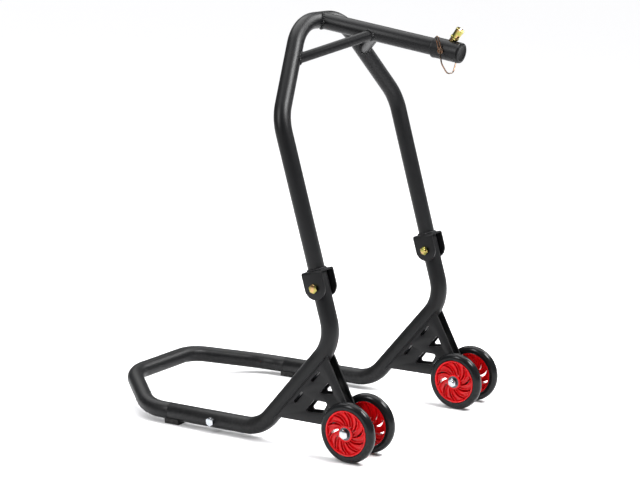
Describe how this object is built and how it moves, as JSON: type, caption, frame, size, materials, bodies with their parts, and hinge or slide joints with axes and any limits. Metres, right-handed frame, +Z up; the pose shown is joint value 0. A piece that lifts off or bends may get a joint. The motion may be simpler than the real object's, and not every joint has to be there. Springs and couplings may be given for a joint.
{
  "type": "motorcycle paddock stand",
  "caption": "Wheeled front paddock stand of bent tube, with a rear grip loop and a folding upper frame whose arm carries a stem pin that lifts a motorcycle by its steering head.",
  "frame": {"origin": "on the floor, under the middle of the bounding box", "axes": "+Z up, +X the stand's right-hand side, +Y the front, towards the arm's free end and the wheels"},
  "size_m": [0.5534, 0.8168, 0.877],
  "materials": {
    "powder_coat_black": "satin powder coat",
    "tyre_black": "glossy moulded rubber",
    "hub_red": "gloss",
    "zinc_bright": "bright zinc plate",
    "zinc_yellow": "yellow passivated zinc",
    "zinc_bronze": "bronze-toned passivated wire",
    "bearing_steel": "ground steel shield",
    "foot_rubber": "matt",
    "cap_black": "satin moulded"
  },
  "bodies": {
    "base": {"side_tube_right": "powder_coat_black", "gusset_outer_right": "powder_coat_black", "gusset_inner_right": "powder_coat_black", "joint_sleeve_right": "zinc_bright", "handle_bolt_right": "zinc_bright", "handle_nut_right": "zinc_bright", "foot_right": "foot_rubber", "axle_bolt_right": "zinc_bright", "axle_nut_right": "zinc_bright", "axle_spacer_middle_right": "zinc_bright", "axle_spacer_outer_right": "zinc_bright", "axle_spacer_inner_right": "zinc_bright", "hinge_bush_right": "zinc_bright", "hinge_bolt_right": "zinc_yellow", "hinge_nut_right": "zinc_yellow", "side_tube_left": "powder_coat_black", "gusset_outer_left": "powder_coat_black", "gusset_inner_left": "powder_coat_black", "joint_sleeve_left": "zinc_bright", "handle_bolt_left": "zinc_bright", "handle_nut_left": "zinc_bright", "foot_left": "foot_rubber", "axle_bolt_left": "zinc_bright", "axle_nut_left": "zinc_bright", "axle_spacer_middle_left": "zinc_bright", "axle_spacer_outer_left": "zinc_bright", "axle_spacer_inner_left": "zinc_bright", "hinge_bush_left": "zinc_bright", "hinge_bolt_left": "zinc_yellow", "hinge_nut_left": "zinc_yellow", "rear_handle": "powder_coat_black"},
    "wheel_right_outer": {"tyre_right_outer": "tyre_black", "wheel_hub_right_outer": "hub_red", "bearing_right_outer_a": "bearing_steel", "bearing_right_outer_b": "bearing_steel"},
    "wheel_right_inner": {"tyre_right_inner": "tyre_black", "wheel_hub_right_inner": "hub_red", "bearing_right_inner_a": "bearing_steel", "bearing_right_inner_b": "bearing_steel"},
    "wheel_left_outer": {"tyre_left_outer": "tyre_black", "wheel_hub_left_outer": "hub_red", "bearing_left_outer_a": "bearing_steel", "bearing_left_outer_b": "bearing_steel"},
    "wheel_left_inner": {"tyre_left_inner": "tyre_black", "wheel_hub_left_inner": "hub_red", "bearing_left_inner_a": "bearing_steel", "bearing_left_inner_b": "bearing_steel"},
    "upper_frame": {"upper_frame_tube": "powder_coat_black", "arm_tube": "powder_coat_black", "head_sleeve": "powder_coat_black", "end_cap": "cap_black", "stem_pin": "zinc_yellow", "lock_pin": "zinc_bronze", "hinge_bracket_right": "powder_coat_black", "brace_right": "powder_coat_black", "hinge_bracket_left": "powder_coat_black", "brace_left": "powder_coat_black"},
    "lock_wire": {"lock_wire": "zinc_bronze"}
  },
  "joints": [
    {"name": "wheel_right_outer_spin", "type": "hinge", "parent": "base", "child": "wheel_right_outer", "pos_m": [0.258, 0.28812, 0.0625], "axis": [1, 0, 0], "continuous": true},
    {"name": "wheel_right_inner_spin", "type": "hinge", "parent": "base", "child": "wheel_right_inner", "pos_m": [0.182, 0.28812, 0.0625], "axis": [1, 0, 0], "continuous": true},
    {"name": "wheel_left_outer_spin", "type": "hinge", "parent": "base", "child": "wheel_left_outer", "pos_m": [-0.258, 0.28812, 0.0625], "axis": [1, 0, 0], "continuous": true},
    {"name": "wheel_left_inner_spin", "type": "hinge", "parent": "base", "child": "wheel_left_inner", "pos_m": [-0.182, 0.28812, 0.0625], "axis": [1, 0, 0], "continuous": true},
    {"name": "upper_frame_fold", "type": "hinge", "parent": "base", "child": "upper_frame", "pos_m": [0, 0.20312, 0.3447], "axis": [1, 0, 0], "range_deg": [0, 100]},
    {"name": "lock_wire_swing", "type": "hinge", "parent": "upper_frame", "child": "lock_wire", "pos_m": [0.0274, 0.36846, 0.80971], "axis": [0, -1, 0], "range_deg": [0, 110]}
  ]
}
